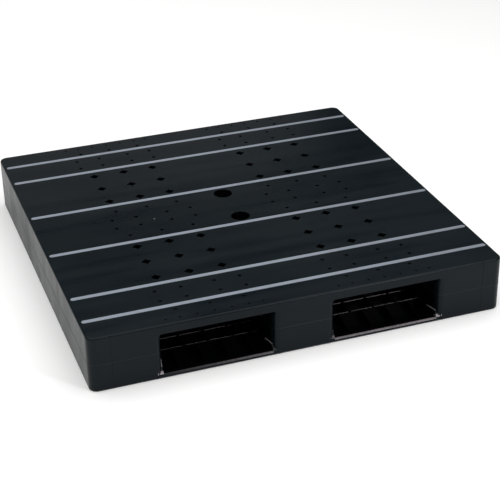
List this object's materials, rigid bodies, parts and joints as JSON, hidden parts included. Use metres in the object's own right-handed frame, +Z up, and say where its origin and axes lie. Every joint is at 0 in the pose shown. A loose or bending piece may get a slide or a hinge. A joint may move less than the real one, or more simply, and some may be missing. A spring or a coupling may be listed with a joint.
{
  "type": "plastic pallet",
  "caption": "Square two-way black plastic pallet, welded from an upper and a lower half shell, with fork tunnels, drain holes and light anti-slip strips.",
  "frame": {"origin": "centre of the footprint, on the floor", "axes": "+X along the fork entry faces, +Y from the front entry face to the rear one, +Z up, so both tunnels run along Y"},
  "size_m": [1.1, 1.1, 0.1508],
  "materials": {
    "shell": "fine matt moulded texture, near black",
    "strip": "matt, pale grey"
  },
  "bodies": {
    "root": {"upper_half": "shell", "lower_half": "shell", "anti_slip_strip_1": "strip", "anti_slip_strip_2": "strip", "anti_slip_strip_3": "strip", "anti_slip_strip_4": "strip", "anti_slip_strip_5": "strip", "anti_slip_strip_6": "strip"}
  },
  "joints": []
}
